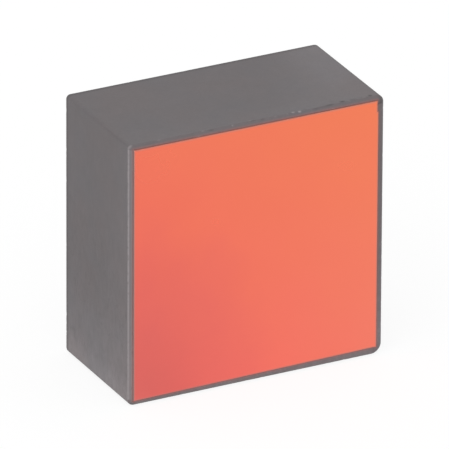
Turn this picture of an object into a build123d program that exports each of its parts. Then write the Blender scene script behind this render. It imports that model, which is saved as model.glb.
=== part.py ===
from build123d import *
import os

# Reflective diffraction grating: a ground glass block with a thin ruled film on one face.
# Sizes are in millimetres. +Z is up and the film faces -Y.
# The origin is the middle of the footprint, film included, on the surface it stands on.

# Glass block
block_width = 12.7
block_height = 12.7
block_thickness = 6.45

# Bevels ground at 45 degrees round the two large faces
front_bevel = 0.15
back_bevel = 0.15

# Rounding of the four corners of the outline, left and right as seen from the film's side
round_top_left = 0.20
round_top_right = 0.35
round_bottom_right = 0.50
round_bottom_left = 0.30

# Ruled film: a cast resin layer that carries the grooves and their aluminium
film_thickness = 0.05

# Bare glass between the film and the front bevel, measured at the film's top left corner,
# along its right edge and at its bottom left corner
margin_left = 0.06
margin_right = 0.185
margin_top = 0.05
margin_bottom = 0.12

# The film's bottom edge was cut out of square and rises towards the right
bottom_edge_rise = 0.14

# A short step where the film's right edge starts further in, next to its top corner
step_inset = 0.045
step_length = 0.54

# Places worked out from the sizes above
depth = block_thickness + film_thickness
back_y = depth / 2
glass_front_y = back_y - block_thickness
flat_left = -block_width / 2 + front_bevel
flat_right = block_width / 2 - front_bevel
flat_bottom = front_bevel
flat_top = block_height - front_bevel

# Sketch planes whose normal points towards -Y, so that an extrusion grows to the front
back_plane = Plane.XZ.offset(-back_y)
glass_front_plane = Plane.XZ.offset(-glass_front_y)

# Glass block: rounded outline, then the bevels of its front and back faces
with BuildPart() as glass_block:
    with BuildSketch(back_plane) as outline:
        with Locations((0, block_height / 2)):
            Rectangle(block_width, block_height)
        corner_rounds = [
            (-block_width / 2, block_height, round_top_left),
            (block_width / 2, block_height, round_top_right),
            (block_width / 2, 0, round_bottom_right),
            (-block_width / 2, 0, round_bottom_left),
        ]
        for corner_x, corner_z, radius in corner_rounds:
            corner = outline.vertices().sort_by_distance((corner_x, corner_z, 0))[0]
            fillet(corner, radius)
    extrude(amount=block_thickness)
    front_face = glass_block.faces().sort_by(Axis.Y)[0]
    chamfer(front_face.edges(), front_bevel)
    back_face = glass_block.faces().sort_by(Axis.Y)[-1]
    chamfer(back_face.edges(), back_bevel)
glass_block.part.label = "glass_block"

# Ruled film: a skewed sheet bonded to the flat inside the front bevel
film_left = flat_left + margin_left
film_right = flat_right - margin_right
film_top = flat_top - margin_top
film_bottom = flat_bottom + margin_bottom
with BuildPart() as ruled_film:
    with BuildSketch(glass_front_plane):
        with BuildLine():
            Polyline(
                (film_left, film_bottom),
                (film_right, film_bottom + bottom_edge_rise),
                (film_right, film_top - step_length),
                (film_right - step_inset, film_top - step_length),
                (film_right - step_inset, film_top),
                (film_left, film_top),
                close=True,
            )
        make_face()
    extrude(amount=film_thickness)
ruled_film.part.label = "ruled_film"

os.makedirs("parts", exist_ok=True)
export_step(glass_block.part, "parts/glass_block.step")
export_step(ruled_film.part, "parts/ruled_film.step")
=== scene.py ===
"""Dresses a half-inch reflective diffraction grating: a ground glass block with a replica film.

Every length is in metres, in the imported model's own frame: +Z is up and the film faces -Y. The
finishes work in millimetres, because that is how grit, grooves and wear are measured.
"""

import logging
import math
import random
from dataclasses import dataclass, field
from enum import Enum
from typing import Iterator

import bmesh
import bpy
from mathutils import Matrix, Vector, noise

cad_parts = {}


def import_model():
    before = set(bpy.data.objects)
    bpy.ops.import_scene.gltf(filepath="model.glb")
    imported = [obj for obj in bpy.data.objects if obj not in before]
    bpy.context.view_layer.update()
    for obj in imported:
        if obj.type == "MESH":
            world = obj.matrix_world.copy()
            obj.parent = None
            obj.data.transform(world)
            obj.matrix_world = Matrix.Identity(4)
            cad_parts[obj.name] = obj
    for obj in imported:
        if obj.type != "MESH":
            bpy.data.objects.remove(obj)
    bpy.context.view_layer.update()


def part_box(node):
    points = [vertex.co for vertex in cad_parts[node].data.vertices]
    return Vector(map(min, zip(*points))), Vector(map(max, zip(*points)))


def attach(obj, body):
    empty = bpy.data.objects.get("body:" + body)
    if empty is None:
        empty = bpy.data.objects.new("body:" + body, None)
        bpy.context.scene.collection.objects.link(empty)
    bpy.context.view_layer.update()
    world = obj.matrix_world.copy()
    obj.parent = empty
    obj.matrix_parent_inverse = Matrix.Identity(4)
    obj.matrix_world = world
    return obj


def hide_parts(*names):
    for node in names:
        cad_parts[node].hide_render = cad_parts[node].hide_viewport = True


log = logging.getLogger("grating")

MM = 0.001
FRAME_PIXELS = 449
BODY = "root"

Mesh = bmesh.types.BMesh
Vert = bmesh.types.BMVert
Tree = bpy.types.NodeTree
Socket = bpy.types.NodeSocket

# What can feed an input: a socket, or a node, which gives its first output
Source = Socket | bpy.types.Node

# Values between which most of a noise texture lies
NOISE_LOW = 0.35
NOISE_HIGH = 0.65


def srgb(code: str) -> tuple[float, float, float, float]:
    """Turns an sRGB hex colour into linear values.

    Args:
        code: Six hex digits after a hash.

    Returns:
        Linear red, green and blue, and an alpha of one.
    """
    shares = [int(code[i : i + 2], 16) / 255 for i in (1, 3, 5)]
    linear = [c / 12.92 if c <= 0.04045 else ((c + 0.055) / 1.055) ** 2.4 for c in shares]
    return (*linear, 1.0)


def add_node(tree: Tree, kind: str, **values: object) -> bpy.types.Node:
    """Adds a node, with its settings, its input values and the links into it.

    Args:
        tree: The node tree that takes the node.
        kind: The node's class name in Blender, without ShaderNode.
        **values: Settings by attribute name. A name that isn't an attribute is an input, by its
            name with underscores for spaces, or by in_ and its number. A socket as the value is
            linked, and so is the first output of a node.

    Returns:
        The new node.
    """
    node = tree.nodes.new("ShaderNode" + kind)
    inputs = {}
    for name, value in values.items():
        if hasattr(node, name):
            setattr(node, name, value)
        else:
            inputs[name] = value
    for name, value in inputs.items():
        key = int(name[3:]) if name.startswith("in_") else name.replace("_", " ")
        socket = node.inputs[key]
        if isinstance(value, bpy.types.Node):
            value = value.outputs[0]
        if isinstance(value, Socket):
            tree.links.new(value, socket)
        else:
            socket.default_value = value
    return node


def new_material(name: str) -> tuple[bpy.types.Material, Tree]:
    """Makes an empty node material.

    Args:
        name: The material's name.

    Returns:
        The material and its node tree, which is empty.
    """
    material = bpy.data.materials.new(name)
    material.use_nodes = True
    material.node_tree.nodes.clear()
    return material, material.node_tree


def place_in_millimetres(tree: Tree) -> Source:
    """Adds the place on the object, in millimetres."""
    place = add_node(tree, "TexCoord").outputs["Object"]
    return add_node(tree, "Mapping", Vector=place, Scale=(1 / MM, 1 / MM, 1 / MM))


class Mark(Enum):
    """Vertex marks that tell a finish where to paint highlights, shade and the film's glow, and where the
    film's cut edge is bare.
    """

    # Painted highlight: a line along the left front edge, the left bevel, and chips that catch the light
    HIGHLIGHT = "painted_highlight"
    # Painted shade in the hollows of chips
    PIT = "pit"
    # On the glass, painted shade where an edge turns away from the light; on the film, its bare resin
    # edge
    RIM = "rim"
    # Painted glow of the film's orange light on the glass beside it
    BLUSH = "blush"


@dataclass(frozen=True)
class PaintedLight:
    """A stretch of painted light, where the grey is painted paler; with a gain below zero, it is painted
    darker.

    Attributes:
        direction: Direction in which the grey turns paler.
        start: Place along that direction where it starts, in millimetres.
        end: Place where it is full, in millimetres.
        gain: Share that it adds, or takes off where it is below zero.
    """

    direction: tuple[float, float, float]
    start: float
    end: float
    gain: float


@dataclass(frozen=True)
class GroundGlass:
    """Borosilicate crown glass, ground with loose grit and left unpolished.

    Each grit leaves a pit that scatters light, so the clear glass turns an even matt grey. The grey
    is painted paler near the free edges and towards the foot, as painted light, and darker towards
    the front right top corner. The real grit is about 0.02 mm across. It is drawn 0.05 mm across,
    which is one pixel of the picture.

    Attributes:
        name: The material's name.
        warm: Warm end of the grey's slow drift.
        cool: Cool end of the same drift.
        highlight_grey: Painted highlight grey, on the left front edge, the left bevel and chips that
            catch the light.
        pit: Painted shade grey, in the hollow of a chip.
        roughness: Roughness of the shader.
        grit_mm: Size of one drawn grit pit.
        speckle: How far the grit lightens and darkens the grey.
        drift_mm: Size of the patches of warmer and cooler grey.
        cloud_mm: Size of the faint clouds that the lap leaves.
        streak_mm: Width of the lap's short upright streaks.
        streak_length_mm: Length of those streaks.
        mottle: How far clouds and streaks change the grey near the foot.
        calm_mm: Heights between which clouds and streaks weaken.
        calm: Share of them that is left at the top.
        scuff_mm: Width of the small dark scuffs low on the sides.
        scuff_length_mm: Height of those scuffs.
        scuff_patch_mm: Size of the patches that they gather in.
        scuff_heights_mm: Height at which they start, and the height where they are full.
        scuff_shade: How far a scuff darkens the grey.
        painted_rim_shade: How far the grey is painted darker, as shade, on an edge that turns away from
            the light.
        blush: Colour of the painted glow of the film's orange light on the glass beside it.
        relief_mm: Depth of the grit in the bump.
        ior: Refractive index of the glass.
        painted_lights: Stretches of painted light, which make the grey paler, and darker where the gain
            is below zero.
    """

    name: str
    warm: str
    cool: str
    highlight_grey: str
    pit: str
    blush: str = "#E8603C"
    roughness: float = 0.68
    grit_mm: float = 0.05
    speckle: float = 0.22
    drift_mm: float = 2.4
    cloud_mm: float = 0.75
    streak_mm: float = 0.15
    streak_length_mm: float = 0.6
    mottle: float = 0.30
    calm_mm: tuple[float, float] = (1.0, 9.0)
    calm: float = 0.45
    scuff_mm: float = 0.17
    scuff_length_mm: float = 0.34
    scuff_patch_mm: float = 1.5
    scuff_heights_mm: tuple[float, float] = (9.0, 5.0)
    scuff_shade: float = 0.13
    painted_rim_shade: float = 0.42
    relief_mm: float = 0.004
    ior: float = 1.517
    # Painted light: paler towards the foot, towards the front and near the top right edge, and darker
    # towards the front right top corner
    painted_lights: tuple[PaintedLight, ...] = (
        PaintedLight(direction=(0.0, 0.0, -1.0), start=-5.5, end=0.0, gain=0.34),
        PaintedLight(direction=(0.0, 0.0, -1.0), start=-1.6, end=0.0, gain=0.38),
        PaintedLight(direction=(0.0, -1.0, -0.2), start=-1.2, end=2.0, gain=0.12),
        PaintedLight(direction=(1.0, -0.35, 1.0), start=14.2, end=16.9, gain=0.08),
        PaintedLight(direction=(1.0, -0.1, 1.0), start=15.9, end=18.3, gain=0.17),
        PaintedLight(direction=(1.0, -1.0, 1.0), start=18.1, end=20.9, gain=-0.13),
    )

    def build(self) -> bpy.types.Material:
        """Makes the material.

        Returns:
            The ground glass material.
        """
        material, tree = new_material(self.name)
        mm = place_in_millimetres(tree)
        grit = add_node(tree, "TexNoise", Vector=mm, Scale=1 / self.grit_mm, Detail=1.0, Roughness=0.6)
        speckle = add_node(
            tree, "Math", operation="MULTIPLY_ADD", in_0=grit, in_1=self.speckle,
            in_2=1 - self.speckle / 2,
        )
        tone = self._drift(tree, mm)
        # The last share is painted light along the stretches
        marks = (self._lap_marks(tree, mm), self._scuffs(tree, mm), self._painted_light_share(tree, mm))
        for share in (speckle, *marks):
            tone = add_node(tree, "VectorMath", operation="SCALE", in_0=tone, in_3=share)
        # Painted shade, highlights and the film's glow, from the vertex marks
        tone = self._painted_edge_shading(tree, tone)
        bump = add_node(tree, "Bump", Strength=0.5, Distance=self.relief_mm * MM, Height=grit)
        shader = add_node(
            tree, "BsdfPrincipled", Base_Color=tone, Roughness=self.roughness, IOR=self.ior, Normal=bump
        )
        add_node(tree, "OutputMaterial", Surface=shader)
        return material

    def _drift(self, tree: Tree, mm: Source) -> Source:
        """Makes the grey, which drifts a little between warm and cool.

        Args:
            tree: The material's node tree.
            mm: The place on the object, in millimetres.

        Returns:
            The colour.
        """
        patches = add_node(tree, "TexNoise", Vector=mm, Scale=1 / self.drift_mm, Detail=2.0)
        amount = add_node(tree, "MapRange", Value=patches, in_1=NOISE_LOW, in_2=NOISE_HIGH)
        return add_node(
            tree, "Mix", data_type="RGBA", in_0=amount, in_6=srgb(self.warm), in_7=srgb(self.cool)
        ).outputs[2]

    def _lap_marks(self, tree: Tree, mm: Source) -> Source:
        """Makes the clouds and the upright streaks, which are stronger towards the foot.

        Args:
            tree: The material's node tree.
            mm: The place on the object, in millimetres.

        Returns:
            The share by which the grey is scaled.
        """
        clouds = add_node(
            tree, "TexNoise", Vector=mm, Scale=1 / self.cloud_mm, Detail=3.0, Distortion=0.6
        )
        stretched = add_node(
            tree, "Mapping", Vector=mm,
            Scale=(1 / self.streak_mm, 1 / self.streak_mm, 1 / self.streak_length_mm),
        )
        streaks = add_node(tree, "TexNoise", Vector=stretched, Scale=1.0, Detail=2.0, Distortion=0.5)
        both = add_node(tree, "Math", operation="ADD", in_0=clouds, in_1=streaks)
        about_zero = add_node(tree, "Math", operation="SUBTRACT", in_0=both, in_1=1.0)
        height = add_node(tree, "SeparateXYZ", Vector=mm).outputs["Z"]
        strength = add_node(
            tree, "MapRange", Value=height, in_1=self.calm_mm[0], in_2=self.calm_mm[1],
            in_3=self.mottle, in_4=self.mottle * self.calm,
        )
        return add_node(tree, "Math", operation="MULTIPLY_ADD", in_0=about_zero, in_1=strength, in_2=1.0)

    def _scuffs(self, tree: Tree, mm: Source) -> Source:
        """Makes the small dark scuffs, which gather in patches low on the sides.

        Args:
            tree: The material's node tree.
            mm: The place on the object, in millimetres.

        Returns:
            The share by which the grey is scaled.
        """
        stretched = add_node(
            tree, "Mapping", Vector=mm,
            Scale=(1 / self.scuff_mm, 1 / self.scuff_mm, 1 / self.scuff_length_mm),
        )
        grain = add_node(tree, "TexNoise", Vector=stretched, Scale=1.0, Detail=3.0, Distortion=1.2)
        patch = add_node(tree, "TexNoise", Vector=mm, Scale=1 / self.scuff_patch_mm, Detail=1.0)
        height = add_node(tree, "SeparateXYZ", Vector=mm).outputs["Z"]
        amount = None
        ramps = ((grain, 0.52, 0.68), (patch, 0.42, 0.58), (height, *self.scuff_heights_mm))
        for value, start, end in ramps:
            limit = add_node(tree, "MapRange", Value=value, in_1=start, in_2=end)
            amount = limit if amount is None else add_node(
                tree, "Math", operation="MULTIPLY", in_0=amount, in_1=limit
            )
        return add_node(
            tree, "Math", operation="MULTIPLY_ADD", in_0=amount, in_1=-self.scuff_shade, in_2=1.0
        )

    def _painted_light_share(self, tree: Tree, mm: Source) -> Source:
        """Paints light into the grey: paler along each stretch, and darker where its gain is below zero.

        Args:
            tree: The material's node tree.
            mm: The place on the object, in millimetres.

        Returns:
            The share by which the grey is scaled.
        """
        share = 1.0
        for glow in self.painted_lights:
            along = add_node(
                tree, "VectorMath", operation="DOT_PRODUCT", in_0=mm, in_1=glow.direction
            ).outputs["Value"]
            reach = add_node(
                tree, "MapRange", interpolation_type="SMOOTHSTEP", Value=along, in_1=glow.start,
                in_2=glow.end, in_3=0.0, in_4=glow.gain,
            )
            share = add_node(tree, "Math", operation="ADD", in_0=share, in_1=reach)
        return share

    def _painted_edge_shading(self, tree: Tree, tone: Source) -> Source:
        """Paints shade on edges that turn away, the film's glow beside it, highlights and shade in pits.

        Args:
            tree: The material's node tree.
            tone: The grey so far.

        Returns:
            The colour.
        """
        rim = add_node(tree, "Attribute", attribute_name=Mark.RIM.value).outputs["Fac"]
        shaded = add_node(
            tree, "Math", operation="MULTIPLY_ADD", in_0=rim, in_1=-self.painted_rim_shade, in_2=1.0
        )
        tone = add_node(tree, "VectorMath", operation="SCALE", in_0=tone, in_3=shaded)
        tints = ((Mark.BLUSH, self.blush), (Mark.HIGHLIGHT, self.highlight_grey), (Mark.PIT, self.pit))
        for mark, colour in tints:
            amount = add_node(tree, "Attribute", attribute_name=mark.value).outputs["Fac"]
            tone = add_node(
                tree, "Mix", data_type="RGBA", in_0=amount, in_6=tone, in_7=srgb(colour)
            ).outputs[2]
        return tone


@dataclass(frozen=True)
class AluminisedReplica:
    """Resin cast from a ruled master and coated with aluminium in a vacuum.

    The grooves send orange light towards the front left, a little redder towards the lower left
    corner. That diffracted light is painted into the metal's colour, so the metal looks evenly orange
    instead of silver. Real grooves are under a thousandth of a millimetre apart. They are drawn 0.05 mm
    apart, which is the finest that the picture could show. Along its cut edge the coat is thin, and
    pale resin shows through.

    Attributes:
        name: The material's name.
        top_left: Colour at the top left corner.
        top_right: Colour at the top right corner.
        bottom_left: Colour that the lower left would have without the red corner.
        bottom_right: Colour at the bottom right corner.
        red: Colour at the red corner, at the bottom left.
        red_reach: How far the red reaches from that corner, as a share of the film's side.
        red_shape: How fast the red fades along the bottom edge and up the left edge.
        resin: Colour of the cut edge.
        groove_mm: Spacing of the drawn grooves.
        relief_mm: Depth of the drawn grooves in the bump.
        haze_mm: Size of the faint unevenness in colour.
        haze: How far it bends the colour's drift, as a share of the film's side.
        roughness: Roughness of the shader.
        smear: How far the roughness varies.
        anisotropy: How far the sheen is drawn out across the grooves.
        uv_name: Name of the map that gives the direction across the grooves.
    """

    name: str = "aluminised_replica_grooves"
    top_left: str = "#F67B61"
    top_right: str = "#F7835E"
    bottom_left: str = "#F66C65"
    bottom_right: str = "#F67F6B"
    red: str = "#E16E68"
    red_reach: float = 0.65
    red_shape: tuple[float, float, float] = (1.05, 0.0, 0.85)
    resin: str = "#9A8682"
    groove_mm: float = 0.05
    relief_mm: float = 0.0006
    haze_mm: float = 2.2
    haze: float = 0.22
    roughness: float = 0.3
    smear: float = 0.03
    anisotropy: float = 0.55
    uv_name: str = "across_grooves"

    def build(self, span: tuple[Vector, Vector]) -> bpy.types.Material:
        """Makes the material.

        Args:
            span: Lowest and highest corner of the film, in metres.

        Returns:
            The film's material.
        """
        material, tree = new_material(self.name)
        mm = place_in_millimetres(tree)
        cut = add_node(tree, "Attribute", attribute_name=Mark.RIM.value).outputs["Fac"]
        colour = add_node(
            tree, "Mix", data_type="RGBA", in_0=cut, in_6=self._diffracted(tree, mm, span),
            in_7=srgb(self.resin),
        ).outputs[2]
        metal = add_node(tree, "Math", operation="SUBTRACT", in_0=1.0, in_1=cut)
        grooves = add_node(
            tree, "TexWave", wave_type="BANDS", bands_direction="X", wave_profile="SAW",
            Vector=mm, Scale=2 * math.pi / 20 / self.groove_mm,
        ).outputs["Fac"]
        bump = add_node(tree, "Bump", Strength=0.3, Distance=self.relief_mm * MM, Height=grooves)
        smear = add_node(tree, "TexNoise", Vector=mm, Scale=0.4, Detail=3.0)
        rough = add_node(
            tree, "MapRange", Value=smear, in_1=0.3, in_2=0.7, in_3=self.roughness - self.smear,
            in_4=self.roughness + self.smear,
        )
        across = add_node(tree, "Tangent", direction_type="UV_MAP", uv_map=self.uv_name)
        shader = add_node(
            tree, "BsdfPrincipled", Base_Color=colour, Metallic=metal, Roughness=rough,
            Anisotropic=self.anisotropy, Tangent=across, Normal=bump,
        )
        add_node(tree, "OutputMaterial", Surface=shader)
        return material

    def _diffracted(self, tree: Tree, mm: Source, span: tuple[Vector, Vector]) -> Source:
        """Makes the painted diffracted light, a colour that drifts from corner to corner of the film.

        Args:
            tree: The material's node tree.
            mm: The place on the object, in millimetres.
            span: Lowest and highest corner of the film, in metres.

        Returns:
            The colour.
        """
        low, high = span
        size = high - low
        unit = add_node(
            tree, "Mapping", Vector=mm, Location=(-low.x / size.x, 0.0, -low.z / size.z),
            Scale=(MM / size.x, 0.0, MM / size.z),
        )
        haze = add_node(tree, "TexNoise", Vector=mm, Scale=1 / self.haze_mm, Detail=3.0).outputs["Color"]
        centred = add_node(tree, "VectorMath", operation="SUBTRACT", in_0=haze, in_1=(0.5, 0.5, 0.5))
        soft = add_node(
            tree, "VectorMath", operation="MULTIPLY_ADD", in_0=centred,
            in_1=(self.haze, 0.0, self.haze), in_2=unit,
        )
        split = add_node(tree, "SeparateXYZ", Vector=soft)
        rows = []
        for left, right in ((self.bottom_left, self.bottom_right), (self.top_left, self.top_right)):
            rows.append(
                add_node(
                    tree, "Mix", data_type="RGBA", in_0=split.outputs["X"], in_6=srgb(left),
                    in_7=srgb(right),
                ).outputs[2]
            )
        field = add_node(
            tree, "Mix", data_type="RGBA", in_0=split.outputs["Z"], in_6=rows[0], in_7=rows[1]
        ).outputs[2]
        shaped = add_node(tree, "VectorMath", operation="MULTIPLY", in_0=soft, in_1=self.red_shape)
        away = add_node(tree, "VectorMath", operation="LENGTH", in_0=shaped).outputs["Value"]
        redness = add_node(tree, "MapRange", Value=away, in_2=self.red_reach, in_3=1.0, in_4=0.0)
        return add_node(
            tree, "Mix", data_type="RGBA", in_0=redness, in_6=field, in_7=srgb(self.red)
        ).outputs[2]


@dataclass(frozen=True)
class StudioPaper:
    """White seamless paper under the object, plain and matt.

    Attributes:
        name: The material's name.
        paper: Colour that lights the object from below.
        shown: Share of the picture's white that comes from the lamps, so that a shadow shows.
        open_light: How brightly the lamps light the paper where nothing shades it.
    """

    name: str = "white_seamless_paper"
    paper: str = "#EDEDED"
    shown: float = 0.18
    open_light: float = 0.8

    def build(self) -> bpy.types.Material:
        """Makes the material.

        Returns:
            The paper's material, which shows white to the camera and keeps shadows.
        """
        material, tree = new_material(self.name)
        fibre = add_node(tree, "TexNoise", Scale=900.0, Detail=3.0)
        tooth = add_node(tree, "Bump", Strength=0.05, Distance=0.02 * MM, Height=fibre)
        lit = add_node(tree, "BsdfDiffuse", Color=srgb(self.paper), Normal=tooth)
        seen_lit = add_node(tree, "BsdfDiffuse", Color=(self.shown, self.shown, self.shown, 1.0))
        white = add_node(
            tree, "Emission", Color=(1.0, 1.0, 1.0, 1.0), Strength=1 - self.shown * self.open_light
        )
        seen = add_node(tree, "AddShader", in_0=seen_lit, in_1=white)
        direct = background_rays(tree)
        mixed = add_node(tree, "MixShader", Fac=direct, in_1=lit, in_2=seen)
        add_node(tree, "OutputMaterial", Surface=mixed)
        return material


def background_rays(tree: Tree) -> Source:
    """Tells the rays that show the background from those that light the object.

    Args:
        tree: The node tree of a floor or of the world.

    Returns:
        A value that is one for camera, glossy and transmission rays.
    """
    rays = add_node(tree, "LightPath")
    direct = add_node(
        tree, "Math", operation="MAXIMUM", in_0=rays.outputs["Is Camera Ray"],
        in_1=rays.outputs["Is Glossy Ray"],
    )
    return add_node(
        tree, "Math", operation="MAXIMUM", in_0=direct, in_1=rays.outputs["Is Transmission Ray"]
    )


def close_with_fan(bm: Mesh, ring: list[Vert], material: int) -> None:
    """Closes a flat face with triangles from its rim to its middle.

    Args:
        bm: The mesh in the making.
        ring: The vertices of the rim, in order.
        material: Index of the material.
    """
    middle = bm.verts.new(sum((v.co for v in ring), Vector()) / len(ring))
    for first, second in zip(ring, ring[1:] + ring[:1]):
        bm.faces.new((first, second, middle)).material_index = material


def close_shell(bm: Mesh, rings: list[list[Vert]], finishes: list[int]) -> None:
    """Joins rings of vertices by strips of faces and closes the first and the last ring.

    Args:
        bm: The mesh in the making.
        rings: The rings, each with as many vertices, from front to back.
        finishes: Index of the material of each strip. The first and the last go on to the caps.
    """
    count = len(rings[0])
    for front, back, finish in zip(rings, rings[1:], finishes):
        for i in range(count):
            j = (i + 1) % count
            face = bm.faces.new((front[i], front[j], back[j], back[i]))
            face.material_index = finish
            face.smooth = True
    close_with_fan(bm, rings[0], finishes[0])
    close_with_fan(bm, rings[-1], finishes[-1])
    bmesh.ops.recalc_face_normals(bm, faces=bm.faces)


def add_piece(bm: Mesh, name: str) -> bpy.types.Object:
    """Turns a finished mesh into an object whose large faces keep flat shading.

    Args:
        bm: The finished mesh, which is freed.
        name: The piece's name.

    Returns:
        The object, linked to the scene.
    """
    mesh = bpy.data.meshes.new(name)
    bm.to_mesh(mesh)
    bm.free()
    piece = bpy.data.objects.new(name, mesh)
    bpy.context.scene.collection.objects.link(piece)
    flat = piece.modifiers.new("flat_faces", "WEIGHTED_NORMAL")
    flat.weight = 100
    return piece


def distance_to_outline(point: Vector, outline: list[Vector]) -> float:
    """Works out how far a point lies from the nearest side of a closed outline.

    Args:
        point: The point, in the outline's plane.
        outline: The outline's corners, in order.

    Returns:
        The distance.
    """
    nearest = math.inf
    for start, end in zip(outline, outline[1:] + outline[:1]):
        run = end - start
        share = max(0.0, min(1.0, (point - start).dot(run) / run.length_squared))
        nearest = min(nearest, (point - start - run * share).length)
    return nearest


@dataclass(frozen=True)
class Station:
    """One place on the block's outline.

    Attributes:
        x: Place along X.
        z: Place along Z.
        inward: Unit direction into the outline, along X and Z.
        side: Name of the side or corner that it lies on.
        along: On a side, the distance from its middle towards +X or +Z. On a corner, the share
            of the turn, from 0 to 1, counter-clockwise as seen from the film's side.
    """

    x: float
    z: float
    inward: tuple[float, float]
    side: str
    along: float


@dataclass(frozen=True)
class ProfilePoint:
    """One point of the section through the block's edge.

    Attributes:
        inset: Distance inwards from the outline.
        y: Place along Y.
        edge: Name of the dulled edge that it is near.
        away: Distance from the middle of that edge, positive towards the back face.
        sink: Unit direction into the glass at that edge, as inset and Y.
    """

    inset: float
    y: float
    edge: str
    away: float
    sink: tuple[float, float]


@dataclass(frozen=True)
class Chip:
    """A small shell-shaped chip out of one edge.

    Attributes:
        edge: Name of the edge.
        side: Name of the side or corner.
        along: Place along the side, as for a station.
        across: Distance from the middle of the edge, as for a point of the section.
        length: Half its length along the edge.
        width: Half its width across the edge.
        depth: Its depth.
        shaded: True where its hollow is painted in shade, false where it gets a painted highlight.
        strength: How strongly it shows, from 0 to 1.
    """

    edge: str
    side: str
    along: float
    across: float
    length: float
    width: float
    depth: float
    shaded: bool
    strength: float = 1.0

    def share(self, station: Station, point: ProfilePoint) -> float:
        """Tells how far a point lies in the chip: 1 in its middle, and 0 at its edge or outside."""
        if self.edge != point.edge or self.side != station.side:
            return 0.0
        along = (station.along - self.along) / self.length
        across = (point.away - self.across) / self.width
        return max(0.0, 1 - along * along - across * across)


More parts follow.
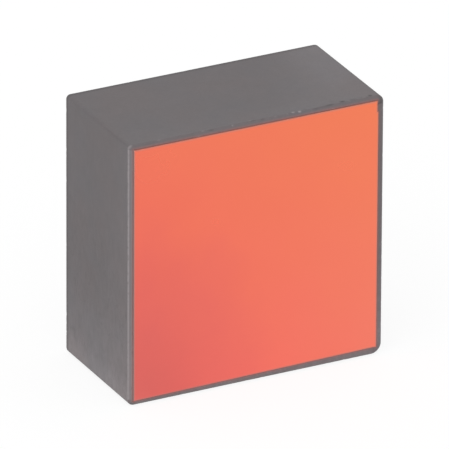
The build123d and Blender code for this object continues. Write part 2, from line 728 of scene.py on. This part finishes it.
@dataclass
class GlassBlock:
    """The ground block: rounded outline, two bevelled faces and dulled, chipped edges.

    Attributes:
        low: Lowest corner of the block.
        high: Highest corner.
        film_outline: Corners of the film's outline, as X and Z.
        bevel: Width of the bevels round the front and the back face.
        corners: Rounding of each corner of the outline.
        step: Distance between neighbouring sections.
        dulled: Radius of each edge of the two bevels, front to back.
        leads: Distances from an edge at which the section has further points. Those on the flat
            faces fold over at a corner whose radius they reach past.
        blush_reach: How far the film's painted glow reaches into the bare glass beside it.
        blush: How strongly the painted glow shows at the film's edge, from 0 to 1.
        bevel_highlight: How far the whole left bevel is painted paler, as painted light.
        line_shift: How far the painted highlight line lies from the arris, towards the film.
        line_wander: How far that line wanders.
        line_width: Half its width.
        back_shade: How far the painted shade of the back edge reaches.
        front_shade: How far the painted shade of the front edges at the right and the bottom reaches.
        front_shade_strength: Strength of that painted shade, from 0 to 1.
        arc_steps: Number of strips round each dulled edge.
        chip_depth_mm: Depth of the strongest chip on the front top edge.
        fine_count: Number of the finer chips.
        seed: Start of the random draws.
    """

    low: Vector
    high: Vector
    film_outline: list[Vector]
    bevel: float = 0.15 * MM
    corners: dict[str, float] = field(
        default_factory=lambda: {
            "bottom_left": 0.30 * MM,
            "bottom_right": 0.50 * MM,
            "top_right": 0.35 * MM,
            "top_left": 0.20 * MM,
        }
    )
    step: float = 0.05 * MM
    dulled: dict[str, float] = field(
        default_factory=lambda: {
            "front_inner": 0.03 * MM,
            "front_outer": 0.05 * MM,
            "back_outer": 0.04 * MM,
            "back_inner": 0.03 * MM,
        }
    )
    leads: tuple[float, ...] = (0.03 * MM, 0.06 * MM, 0.10 * MM, 0.15 * MM, 0.21 * MM, 0.28 * MM)
    blush_reach: float = 0.12 * MM
    blush: float = 0.22
    bevel_highlight: float = 0.28
    line_shift: float = 0.022 * MM
    line_wander: float = 0.014 * MM
    line_width: float = 0.065 * MM
    back_shade: float = 0.25 * MM
    front_shade: float = 0.10 * MM
    front_shade_strength: float = 0.52
    arc_steps: int = 4
    chip_depth_mm: float = 0.02
    fine_count: int = 150
    seed: int = 7

    def build(self) -> bpy.types.Object:
        """Makes the block's mesh and dresses it.

        Returns:
            The finished piece.
        """
        stations = list(self.stations())
        profile = list(self.profile())
        chips = self.picture_chips() + self.fine_chips()
        bm = bmesh.new()
        marks = {m: bm.verts.layers.float.new(m.value) for m in Mark}
        rings = [[self._vertex(bm, marks, s, point, chips) for s in stations] for point in profile]
        finishes = [self._finish_between(first, second) for first, second in zip(profile, profile[1:])]
        close_shell(bm, rings, finishes)
        block = add_piece(bm, "ground_block")
        for finish in (FINE_GROUND, STONED_BEVEL):
            block.data.materials.append(finish.build())
        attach(block, BODY)
        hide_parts("glass_block")
        log.info("%s: %d faces, %d chips", block.name, len(block.data.polygons), len(chips))
        return block

    def stations(self) -> Iterator[Station]:
        """Walks round the outline, counter-clockwise as seen from the film's side.

        Yields:
            The stations, evenly spaced along each side and each rounded corner.
        """
        x0, x1, z0, z1 = self.low.x, self.high.x, self.low.z, self.high.z
        route = [
            ("bottom", "bottom_left", "bottom_right", (x0, z0), (1, 0)),
            ("right", "bottom_right", "top_right", (x1, z0), (0, 1)),
            ("top", "top_right", "top_left", (x1, z1), (-1, 0)),
            ("left", "top_left", "bottom_left", (x0, z1), (0, -1)),
        ]
        for side, first, last, (cx, cz), (dx, dz) in route:
            total = (x1 - x0) if dx else (z1 - z0)
            start, end = self.corners[first], self.corners[last]
            inward = (-dz, dx)
            steps = round((total - start - end) / self.step)
            for k in range(steps):
                s = start + (total - start - end) * k / steps
                along = (s - total / 2) * (dx + dz)
                yield Station(cx + dx * s, cz + dz * s, inward, side, along)
            arc = max(8, round(end * math.pi / 2 / self.step))
            ox = cx + dx * (total - end) + inward[0] * end
            oz = cz + dz * (total - end) + inward[1] * end
            for k in range(arc):
                angle = math.pi / 2 * k / arc
                ux = -inward[0] * math.cos(angle) + dx * math.sin(angle)
                uz = -inward[1] * math.cos(angle) + dz * math.sin(angle)
                yield Station(ox + ux * end, oz + uz * end, (-ux, -uz), last, k / arc)

    def profile(self) -> Iterator[ProfilePoint]:
        """Walks the section of the block's edge from the front face to the back face.

        Yields:
            The points, closer together near each dulled edge.
        """
        y0, y1, b = self.low.y, self.high.y, self.bevel
        half_slope = b / math.sqrt(2)
        bends = [
            ("front_inner", (b, y0), (-1.0, 0.0), (-1.0, 1.0)),
            ("front_outer", (0.0, y0 + b), (-1.0, 1.0), (0.0, 1.0)),
            ("back_outer", (0.0, y1 - b), (0.0, 1.0), (1.0, 1.0)),
            ("back_inner", (b, y1), (1.0, 1.0), (1.0, 0.0)),
        ]
        arc = self.arc_steps
        for name, (inset, y), before, after in bends:
            edge = Vector((inset, y))
            came, goes = Vector(before).normalized(), Vector(after).normalized()
            radius, turn = self.dulled[name], came.angle(goes)
            into = (goes - came).normalized()
            reach = radius * math.tan(turn / 2)
            centre = edge + into * (radius / math.cos(turn / 2))
            for lead in reversed(self.leads):
                if reach < lead < (half_slope if all(before) else math.inf):
                    at = edge - came * lead
                    yield ProfilePoint(at.x, at.y, name, -lead, tuple(into))
            for k in range(arc + 1):
                swing = Matrix.Rotation(turn / 2 - turn * k / arc, 2)
                at = centre - (swing @ into) * radius
                yield ProfilePoint(at.x, at.y, name, radius * turn * (k / arc - 0.5), tuple(into))
            for lead in self.leads:
                if reach < lead < (half_slope if all(after) else math.inf):
                    at = edge + goes * lead
                    yield ProfilePoint(at.x, at.y, name, lead, tuple(into))

    def picture_chips(self) -> list[Chip]:
        """Lists the chips that the picture shows on the front top edge, from left to right.

        Returns:
            The chips, with the one at the front left top corner.
        """
        chips = [Chip("front_outer", "top_left", 0.5, 0.0, 0.7, 0.08 * MM, 0.012 * MM, False, 0.6)]
        # Each mark: X, distance behind the edge, half its length and width in mm, strength
        light = (
            (-1.19, -0.03, 0.05, 0.06, 0.60),
            (-0.28, 0.05, 0.12, 0.04, 0.40),
            (1.56, -0.02, 0.07, 0.04, 0.35),
            (1.84, 0.02, 0.11, 0.06, 0.90),
            (2.15, -0.02, 0.10, 0.07, 1.00),
        )
        dark = (
            (-5.45, -0.12, 0.50, 0.06, 0.25),
            (-2.27, -0.05, 0.16, 0.07, 0.45),
            (-0.16, -0.01, 0.16, 0.05, 0.45),
            (0.30, -0.03, 0.12, 0.06, 0.45),
            (2.45, 0.06, 0.08, 0.06, 0.40),
            (2.98, -0.06, 0.22, 0.06, 0.40),
            (3.40, -0.04, 0.45, 0.05, 0.35),
            (3.66, 0.00, 0.26, 0.06, 0.75),
            (4.31, 0.06, 0.17, 0.09, 1.00),
            (4.86, 0.04, 0.28, 0.08, 0.35),
            (5.27, 0.08, 0.16, 0.08, 0.30),
            (5.55, 0.02, 0.10, 0.07, 0.35),
            (5.72, 0.08, 0.13, 0.10, 0.95),
        )
        # Light marks get a painted highlight, dark marks painted shade in their hollows
        for marks, shaded in ((light, False), (dark, True)):
            for *place, strength in marks:
                sizes = [value * MM for value in (*place, self.chip_depth_mm * strength)]
                chips.append(Chip("front_outer", "top", *sizes, shaded, strength))
        return chips

    def fine_chips(self) -> list[Chip]:
        """Scatters finer chips over all edges.

        Returns:
            The chips.
        """
        draw = random.Random(self.seed)
        chips = []
        for _ in range(self.fine_count):
            chips.append(
                Chip(
                    edge=draw.choice(tuple(self.dulled)),
                    side=draw.choice(("top", "left", "bottom", "right")),
                    along=draw.uniform(-5.8, 5.8) * MM,
                    across=draw.uniform(-0.02, 0.02) * MM,
                    length=draw.uniform(0.05, 0.12) * MM,
                    width=draw.uniform(0.03, 0.06) * MM,
                    depth=draw.uniform(0.003, 0.010) * MM,
                    # About half the fine chips get painted shade, the rest a painted highlight
                    shaded=draw.random() < 0.5,
                    strength=draw.uniform(0.1, 0.4),
                )
            )
        return chips

    def _vertex(
        self,
        bm: Mesh,
        marks: dict[Mark, bmesh.types.BMLayerItem],
        station: Station,
        point: ProfilePoint,
        chips: list[Chip],
    ) -> Vert:
        """Adds one vertex, sunk where a chip takes glass away, and marks its painted highlight and shade
        and the film's painted glow.

        Args:
            bm: The mesh in the making.
            marks: The layers that tell the finish where the surface is worn.
            station: The place on the outline.
            point: The place on the section.
            chips: All chips.

        Returns:
            The vertex.
        """
        # light is a chip's painted highlight, dark the painted shade in its hollow
        sunk = light = dark = 0.0
        for chip in chips:
            share = chip.share(station, point)
            if share == 0.0:
                continue
            sunk = max(sunk, chip.depth * share)
            if chip.shaded:
                dark = max(dark, chip.strength * share)
            else:
                light = max(light, chip.strength * share)
        inset = point.inset + sunk * point.sink[0]
        y = point.y + sunk * point.sink[1]
        x = station.x + station.inward[0] * inset
        z = station.z + station.inward[1] * inset
        vertex = bm.verts.new((x, y, z))
        # Painted highlight, painted shade in pits, and painted shade where an edge turns away
        vertex[marks[Mark.HIGHLIGHT]] = max(light, self._highlight_share(station, point))
        vertex[marks[Mark.PIT]] = dark
        vertex[marks[Mark.RIM]] = self._painted_rim(station, point)
        # Painted glow of the film's orange light on the bare glass beside it
        if y < self.low.y + self.bevel:
            away = distance_to_outline(Vector((x, z)), self.film_outline)
            vertex[marks[Mark.BLUSH]] = self.blush * max(0.0, 1 - away / self.blush_reach)
        return vertex

    def _highlight_share(self, station: Station, point: ProfilePoint) -> float:
        """Tells how far the glass is painted pale, as a highlight: a broken line along the left front
        arris, and the whole left bevel a little paler.

        Args:
            station: The place on the outline.
            point: The place on the section.

        Returns:
            The painted highlight, from 0 to 1.
        """
        if station.side != "left" or point.edge not in ("front_inner", "front_outer"):
            return 0.0
        ripple = noise.noise(Vector((0.0, 0.0, station.z)) / (0.5 * MM))
        chatter = noise.noise(Vector((3.0, 0.0, station.z / (0.14 * MM))))
        on_bevel = point.inset > 0 and point.y > self.low.y
        base = self.bevel_highlight if on_bevel else 0.0
        if point.edge == "front_inner":
            return base
        away = point.away + self.line_shift - self.line_wander * ripple
        broken = 0.8 + 0.35 * ripple + 0.5 * chatter
        line = max(0.0, 1 - abs(away) / self.line_width) * broken
        return min(1.0, base + max(0.0, line))

    def _painted_rim(self, station: Station, point: ProfilePoint) -> float:
        """Tells how far the glass is painted darker, as shade, where it turns away at an edge.

        Args:
            station: The place on the outline.
            point: The place on the section.

        Returns:
            The painted shade, from 0 to 1.
        """
        shade = 0.0
        if point.edge == "back_outer":
            shade = max(0.0, 1 - abs(point.away) / self.back_shade)
        if point.edge == "front_outer" and station.side in ("right", "bottom", "bottom_right"):
            shade = self.front_shade_strength * max(0.0, 1 - abs(point.away) / self.front_shade)
        ridge = max(0.0, 1 - abs(station.along - 0.55) / 0.2)
        uneven = 0.5 + noise.noise(Vector((0.0, point.y, 0.0)) / (0.6 * MM))
        # Painted shade on the rounded corners that turn away from the light
        turned = {
            "bottom_left": 0.6 * station.along,
            "bottom_right": 0.25,
            "top_right": 1.15 * (1 - station.along),
            "top_left": 0.3 * ridge * uneven,
        }
        return max(shade, turned.get(station.side, 0.0))

    def _finish_between(self, first: ProfilePoint, second: ProfilePoint) -> int:
        """Picks the finish of a strip: 1 on the front bevel and front face, 0 elsewhere."""
        limit = self.low.y + self.bevel * 1.02
        return 1 if (first.y + second.y) / 2 < limit else 0


@dataclass
class RuledFilm:
    """The replica film: a thin sheet with a rounded shoulder and a knife-cut outline.

    Attributes:
        low: Lowest corner of the film.
        high: Highest corner.
        bottom_rise: How far the bottom edge rises towards the right.
        step_inset: How far the right edge steps in next to its top corner.
        step_length: Length of the stretch that is stepped in.
        shoulder: Radius of the edge of the front.
        shoulder_steps: Number of strips round that edge.
        thin_coat: Width of the strip along the edge where the aluminium thins out.
        squeezed: Size of the resin that the mould squeezed out along the foot of the edge.
        step: Distance between neighbouring points of the outline.
        ragged: How far the cut strays inwards.
        finish: The film's finish.
    """

    low: Vector
    high: Vector
    bottom_rise: float = 0.14 * MM
    step_inset: float = 0.045 * MM
    step_length: float = 0.54 * MM
    shoulder: float = 0.02 * MM
    shoulder_steps: int = 3
    thin_coat: float = 0.10 * MM
    squeezed: float = 0.02 * MM
    step: float = 0.06 * MM
    ragged: float = 0.008 * MM
    finish: AluminisedReplica = AluminisedReplica()

    def outline(self) -> list[Vector]:
        """Works out the film's outline.

        Returns:
            Its corners as X and Z, counter-clockwise as seen from the front.
        """
        x0, x1, z0, z1 = self.low.x, self.high.x, self.low.z, self.high.z
        return [
            Vector((x0, z0)),
            Vector((x1, z0 + self.bottom_rise)),
            Vector((x1, z1 - self.step_length)),
            Vector((x1 - self.step_inset, z1 - self.step_length)),
            Vector((x1 - self.step_inset, z1)),
            Vector((x0, z1)),
        ]

    def build(self) -> bpy.types.Object:
        """Makes the film's mesh and dresses it.

        Returns:
            The finished piece.
        """
        ring = list(self._cut_edge())
        # Each level: inset, Y, resin that shows everywhere, and more where the cut is pale
        levels = []
        for share, bare in ((1.0, 0.0), (0.7, 0.1), (0.45, 0.22)):
            levels.append((self.thin_coat * share, self.low.y, bare, 0.0))
        for k in range(self.shoulder_steps + 1):
            angle = math.pi / 2 * k / self.shoulder_steps
            inset = self.shoulder * (1 - math.sin(angle))
            y = self.low.y + self.shoulder * (1 - math.cos(angle))
            levels.append((inset, y, 0.32 + 0.03 * k, 0.2 * k))
        levels.append((0.0, self.high.y - self.squeezed, 0.4, 0.6))
        levels.append((-self.squeezed, self.high.y, 0.4, 0.6))
        bm = bmesh.new()
        rim = bm.verts.layers.float.new(Mark.RIM.value)
        rings = []
        for inset, y, bare, cut in levels:
            verts = []
            for point, inward, paleness in ring:
                at = point + inward * inset
                vertex = bm.verts.new((at.x, y, at.y))
                vertex[rim] = bare + cut * paleness
                verts.append(vertex)
            rings.append(verts)
        close_shell(bm, rings, [0] * (len(rings) - 1))
        uv = bm.loops.layers.uv.new(self.finish.uv_name)
        for face in bm.faces:
            for loop in face.loops:
                loop[uv].uv = (loop.vert.co.x / MM, loop.vert.co.z / MM)
        film = add_piece(bm, "replica_film")
        film.data.materials.append(self.finish.build((self.low, self.high)))
        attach(film, BODY)
        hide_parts("ruled_film")
        log.info("%s: %d faces", film.name, len(film.data.polygons))
        return film

    def _cut_edge(self) -> Iterator[tuple[Vector, Vector, float]]:
        """Walks the outline in short steps and makes the cut a little uneven.

        Yields:
            Each point, the direction into the film there, and how pale the cut is, from 0 to 1.
            The left edge has more bare resin than the others.
        """
        corners = self.outline()
        count = len(corners)
        inwards = []
        for corner, after in zip(corners, corners[1:] + corners[:1]):
            along = (after - corner).normalized()
            inwards.append(Vector((-along.y, along.x)))
        mitres = []
        for i, inward in enumerate(inwards):
            mitre = inward + inwards[i - 1]
            mitres.append(mitre / mitre.dot(inward))
        for i, corner in enumerate(corners):
            j = (i + 1) % count
            after = corners[j]
            paleness = 1.0 if corner.x == after.x == self.low.x else 0.2
            yield corner, mitres[i], paleness
            steps = max(2, round((after - corner).length / self.step))
            for k in range(1, steps):
                at = corner.lerp(after, k / steps)
                coarse = noise.noise(Vector((at.x, at.y, i * MM)) / (0.5 * MM))
                fine = noise.noise(Vector((at.x, at.y, i * MM)) / (0.12 * MM))
                rough = self.ragged * (0.5 + 0.3 * coarse + 0.2 * fine)
                yield at + inwards[i] * rough, mitres[i].lerp(mitres[j], k / steps), paleness


# The sides, top and back, even and matt, as fine loose grit leaves them
FINE_GROUND = GroundGlass(
    name="fine_ground_crown_glass", warm="#6B6566", cool="#696567", highlight_grey="#989293", pit="#4A4647"
)
# The front bevel and the bare glass round the film, rubbed by hand on a fine stone and smoother
STONED_BEVEL = GroundGlass(
    name="stoned_bevel_glass",
    warm="#6B6364",
    cool="#696366",
    highlight_grey="#989294",
    pit="#4A4648",
    roughness=0.6,
    grit_mm=0.04,
    cloud_mm=0.4,
    # Painted light, paler towards the foot
    painted_lights=(PaintedLight(direction=(0.0, 0.0, -1.0), start=-5.0, end=0.0, gain=0.36),),
)


@dataclass(frozen=True)
class Lamp:
    """A square soft box that faces the object.

    Attributes:
        name: The lamp's name.
        azimuth: Direction in degrees, as for the camera.
        elevation: Height in degrees above the floor.
        distance: Distance from the object.
        size: Length of its side.
        share: Brightness that it alone gives a white sheet that faces it, where 1 is white.
    """

    name: str
    azimuth: float
    elevation: float
    distance: float
    size: float
    share: float

    def build(self, aim: Vector) -> bpy.types.Object:
        """Makes the lamp.

        Args:
            aim: The point that it faces.

        Returns:
            The lamp.
        """
        back = view_direction(math.radians(self.azimuth), math.radians(self.elevation))
        data = bpy.data.lights.new(self.name, "AREA")
        data.shape = "SQUARE"
        data.size = self.size
        data.energy = self.share * math.pi**2 * self.distance**2
        lamp = bpy.data.objects.new(self.name, data)
        lamp.location = aim + back * self.distance
        lamp.rotation_mode = "QUATERNION"
        lamp.rotation_quaternion = (-back).to_track_quat("-Z", "Y")
        bpy.context.scene.collection.objects.link(lamp)
        return lamp


@dataclass(frozen=True)
class Studio:
    """A white sweep of paper, a bright room and soft boxes.

    Attributes:
        paper_size: Length of the paper's side.
        room_light: Brightness that the room gives the object, where 1 is white.
        paper: The paper's finish.
        lamps: The soft boxes.
    """

    paper_size: float = 6.0
    room_light: float = 0.65
    paper: StudioPaper = StudioPaper()
    lamps: tuple[Lamp, ...] = (
        Lamp("key_box", -52.0, 36.0, 0.7, 0.6, 0.26),
        Lamp("front_box", -12.0, 14.0, 0.8, 0.6, 0.11),
        Lamp("top_box", 20.0, 82.0, 0.8, 0.6, 0.05),
    )

    def build(self, aim: Vector) -> None:
        """Makes the floor, the world and the lamps.

        Args:
            aim: Middle of the object.
        """
        half = self.paper_size / 2
        mesh = bpy.data.meshes.new("paper_floor")
        corners = [(-half, -half, 0), (half, -half, 0), (half, half, 0), (-half, half, 0)]
        mesh.from_pydata(corners, [], [(0, 1, 2, 3)])
        floor = bpy.data.objects.new("paper_floor", mesh)
        bpy.context.scene.collection.objects.link(floor)
        mesh.materials.append(self.paper.build())
        world = bpy.data.worlds.new("bright_room")
        world.use_nodes = True
        tree = world.node_tree
        tree.nodes.clear()
        strength = add_node(tree, "MapRange", Value=background_rays(tree), in_3=self.room_light, in_4=1.0)
        room = add_node(tree, "Background", Color=(1.0, 1.0, 1.0, 1.0), Strength=strength)
        add_node(tree, "OutputWorld", Surface=room)
        bpy.context.scene.world = world
        for lamp in self.lamps:
            lamp.build(aim)
        log.info("studio: %d lamps", len(self.lamps))


def view_direction(azimuth: float, elevation: float) -> Vector:
    """Works out the unit vector from the object towards a viewer.

    Args:
        azimuth: Zero looks along +Y, in radians.
        elevation: Angle above the floor, in radians.

    Returns:
        The direction.
    """
    flat = math.cos(elevation)
    return Vector((math.sin(azimuth) * flat, -math.cos(azimuth) * flat, math.sin(elevation)))


@dataclass(frozen=True)
class PictureCamera:
    """A long lens at the picture's viewing angle, aimed at the middle of the glass.

    Attributes:
        azimuth: Degrees round the object, from the film's side.
        elevation: Degrees above the floor.
        roll: Degrees that the camera is turned about its own axis.
        distance: Distance from the middle of the glass.
        focal_pixels: Focal length in pixels of the picture's frame.
        slide_right: How far the camera stands to its right.
        slide_up: How far it stands up.
        sensor_mm: Width of the sensor, in millimetres.
    """

    azimuth: float = -27.01
    elevation: float = 24.76
    roll: float = 0.28
    distance: float = 584.1 * MM
    focal_pixels: float = 13076.0
    slide_right: float = 0.014 * MM
    slide_up: float = -0.0245 * MM
    sensor_mm: float = 36.0

    def build(self, aim: Vector) -> bpy.types.Object:
        """Makes the camera and gives it to the scene.

        Args:
            aim: Middle of the glass block.

        Returns:
            The camera.
        """
        azimuth = math.radians(self.azimuth)
        back = view_direction(azimuth, math.radians(self.elevation))
        level = Vector((math.cos(azimuth), math.sin(azimuth), 0.0))
        upright = back.cross(level)
        roll = math.radians(self.roll)
        right = level * math.cos(roll) + upright * math.sin(roll)
        up = upright * math.cos(roll) - level * math.sin(roll)
        data = bpy.data.cameras.new("picture_camera")
        data.sensor_width = self.sensor_mm
        data.lens = self.focal_pixels / FRAME_PIXELS * self.sensor_mm
        data.clip_start = self.distance / 50
        data.clip_end = self.distance * 50
        camera = bpy.data.objects.new("picture_camera", data)
        place = aim + back * self.distance + right * self.slide_right + up * self.slide_up
        axes = Matrix((right, up, back)).transposed().to_4x4()
        camera.matrix_world = Matrix.Translation(place) @ axes
        bpy.context.scene.collection.objects.link(camera)
        bpy.context.scene.camera = camera
        log.info("camera: %.0f mm lens", data.lens)
        return camera


def main() -> None:
    """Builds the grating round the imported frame, in order."""
    logging.basicConfig(level=logging.INFO, format="%(name)s: %(message)s")
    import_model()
    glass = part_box("glass_block")
    middle = (glass[0] + glass[1]) / 2
    bpy.context.scene.view_settings.view_transform = "Standard"
    PictureCamera().build(middle)
    Studio().build(middle)
    film = RuledFilm(*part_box("ruled_film"))
    GlassBlock(*glass, film_outline=film.outline()).build()
    film.build()


if __name__ == "__main__":
    main()
